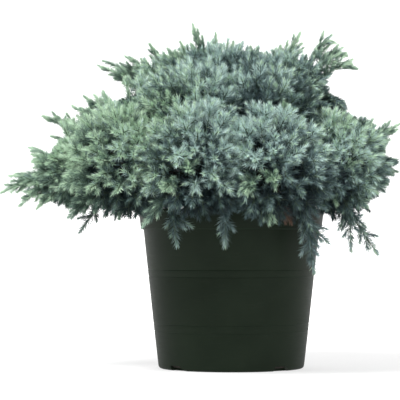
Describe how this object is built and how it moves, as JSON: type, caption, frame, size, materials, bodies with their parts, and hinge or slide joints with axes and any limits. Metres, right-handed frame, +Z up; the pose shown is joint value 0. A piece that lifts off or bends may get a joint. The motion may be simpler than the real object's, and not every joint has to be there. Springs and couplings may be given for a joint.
{
  "type": "blue star juniper",
  "caption": "Low, dense juniper shrub with blue-green needles, in a round dark green nursery pot.",
  "frame": {"origin": "centre of the pot's flat underside", "axes": "+Z up; the front of the plant, as pictured, faces -Y; +X to the right of the front"},
  "size_m": [0.45, 0.436, 0.394],
  "materials": {
    "pot_plastic": "satin, dark green, a little scuffed",
    "potting_mix": "moist and crumbly",
    "bark": "thin, flaking, reddish brown",
    "needles": "waxy, blue-green"
  },
  "bodies": {
    "root": {"back": "needles", "bough_back": "bark", "bough_far_left": "bark", "bough_far_right": "bark", "bough_front_left": "bark", "bough_front_right": "bark", "bough_hanging_front": "bark", "bough_hanging_front_left": "bark", "bough_hanging_front_right": "bark", "bough_hanging_left": "bark", "bough_hanging_right": "bark", "bough_left_back": "bark", "bough_left_front": "bark", "bough_rear_left": "bark", "bough_right_back": "bark", "bough_right_front": "bark", "bough_top": "bark", "bough_top_left": "bark", "bough_upper_back": "bark", "bough_upper_front": "bark", "bough_upper_left": "bark", "bough_upper_right": "bark", "bough_upper_right_front": "bark", "far_left": "needles", "far_right": "needles", "front_left": "needles", "front_right": "needles", "hanging_front": "needles", "hanging_front_left": "needles", "hanging_front_right": "needles", "hanging_left": "needles", "hanging_right": "needles", "left_back": "needles", "left_front": "needles", "pot": "pot_plastic", "potting_mix": "potting_mix", "rear_left": "needles", "right_back": "needles", "right_front": "needles", "top": "needles", "top_left": "needles", "trunk": "bark", "upper_back": "needles", "upper_front": "needles", "upper_left": "needles", "upper_right": "needles", "upper_right_front": "needles"}
  },
  "joints": []
}
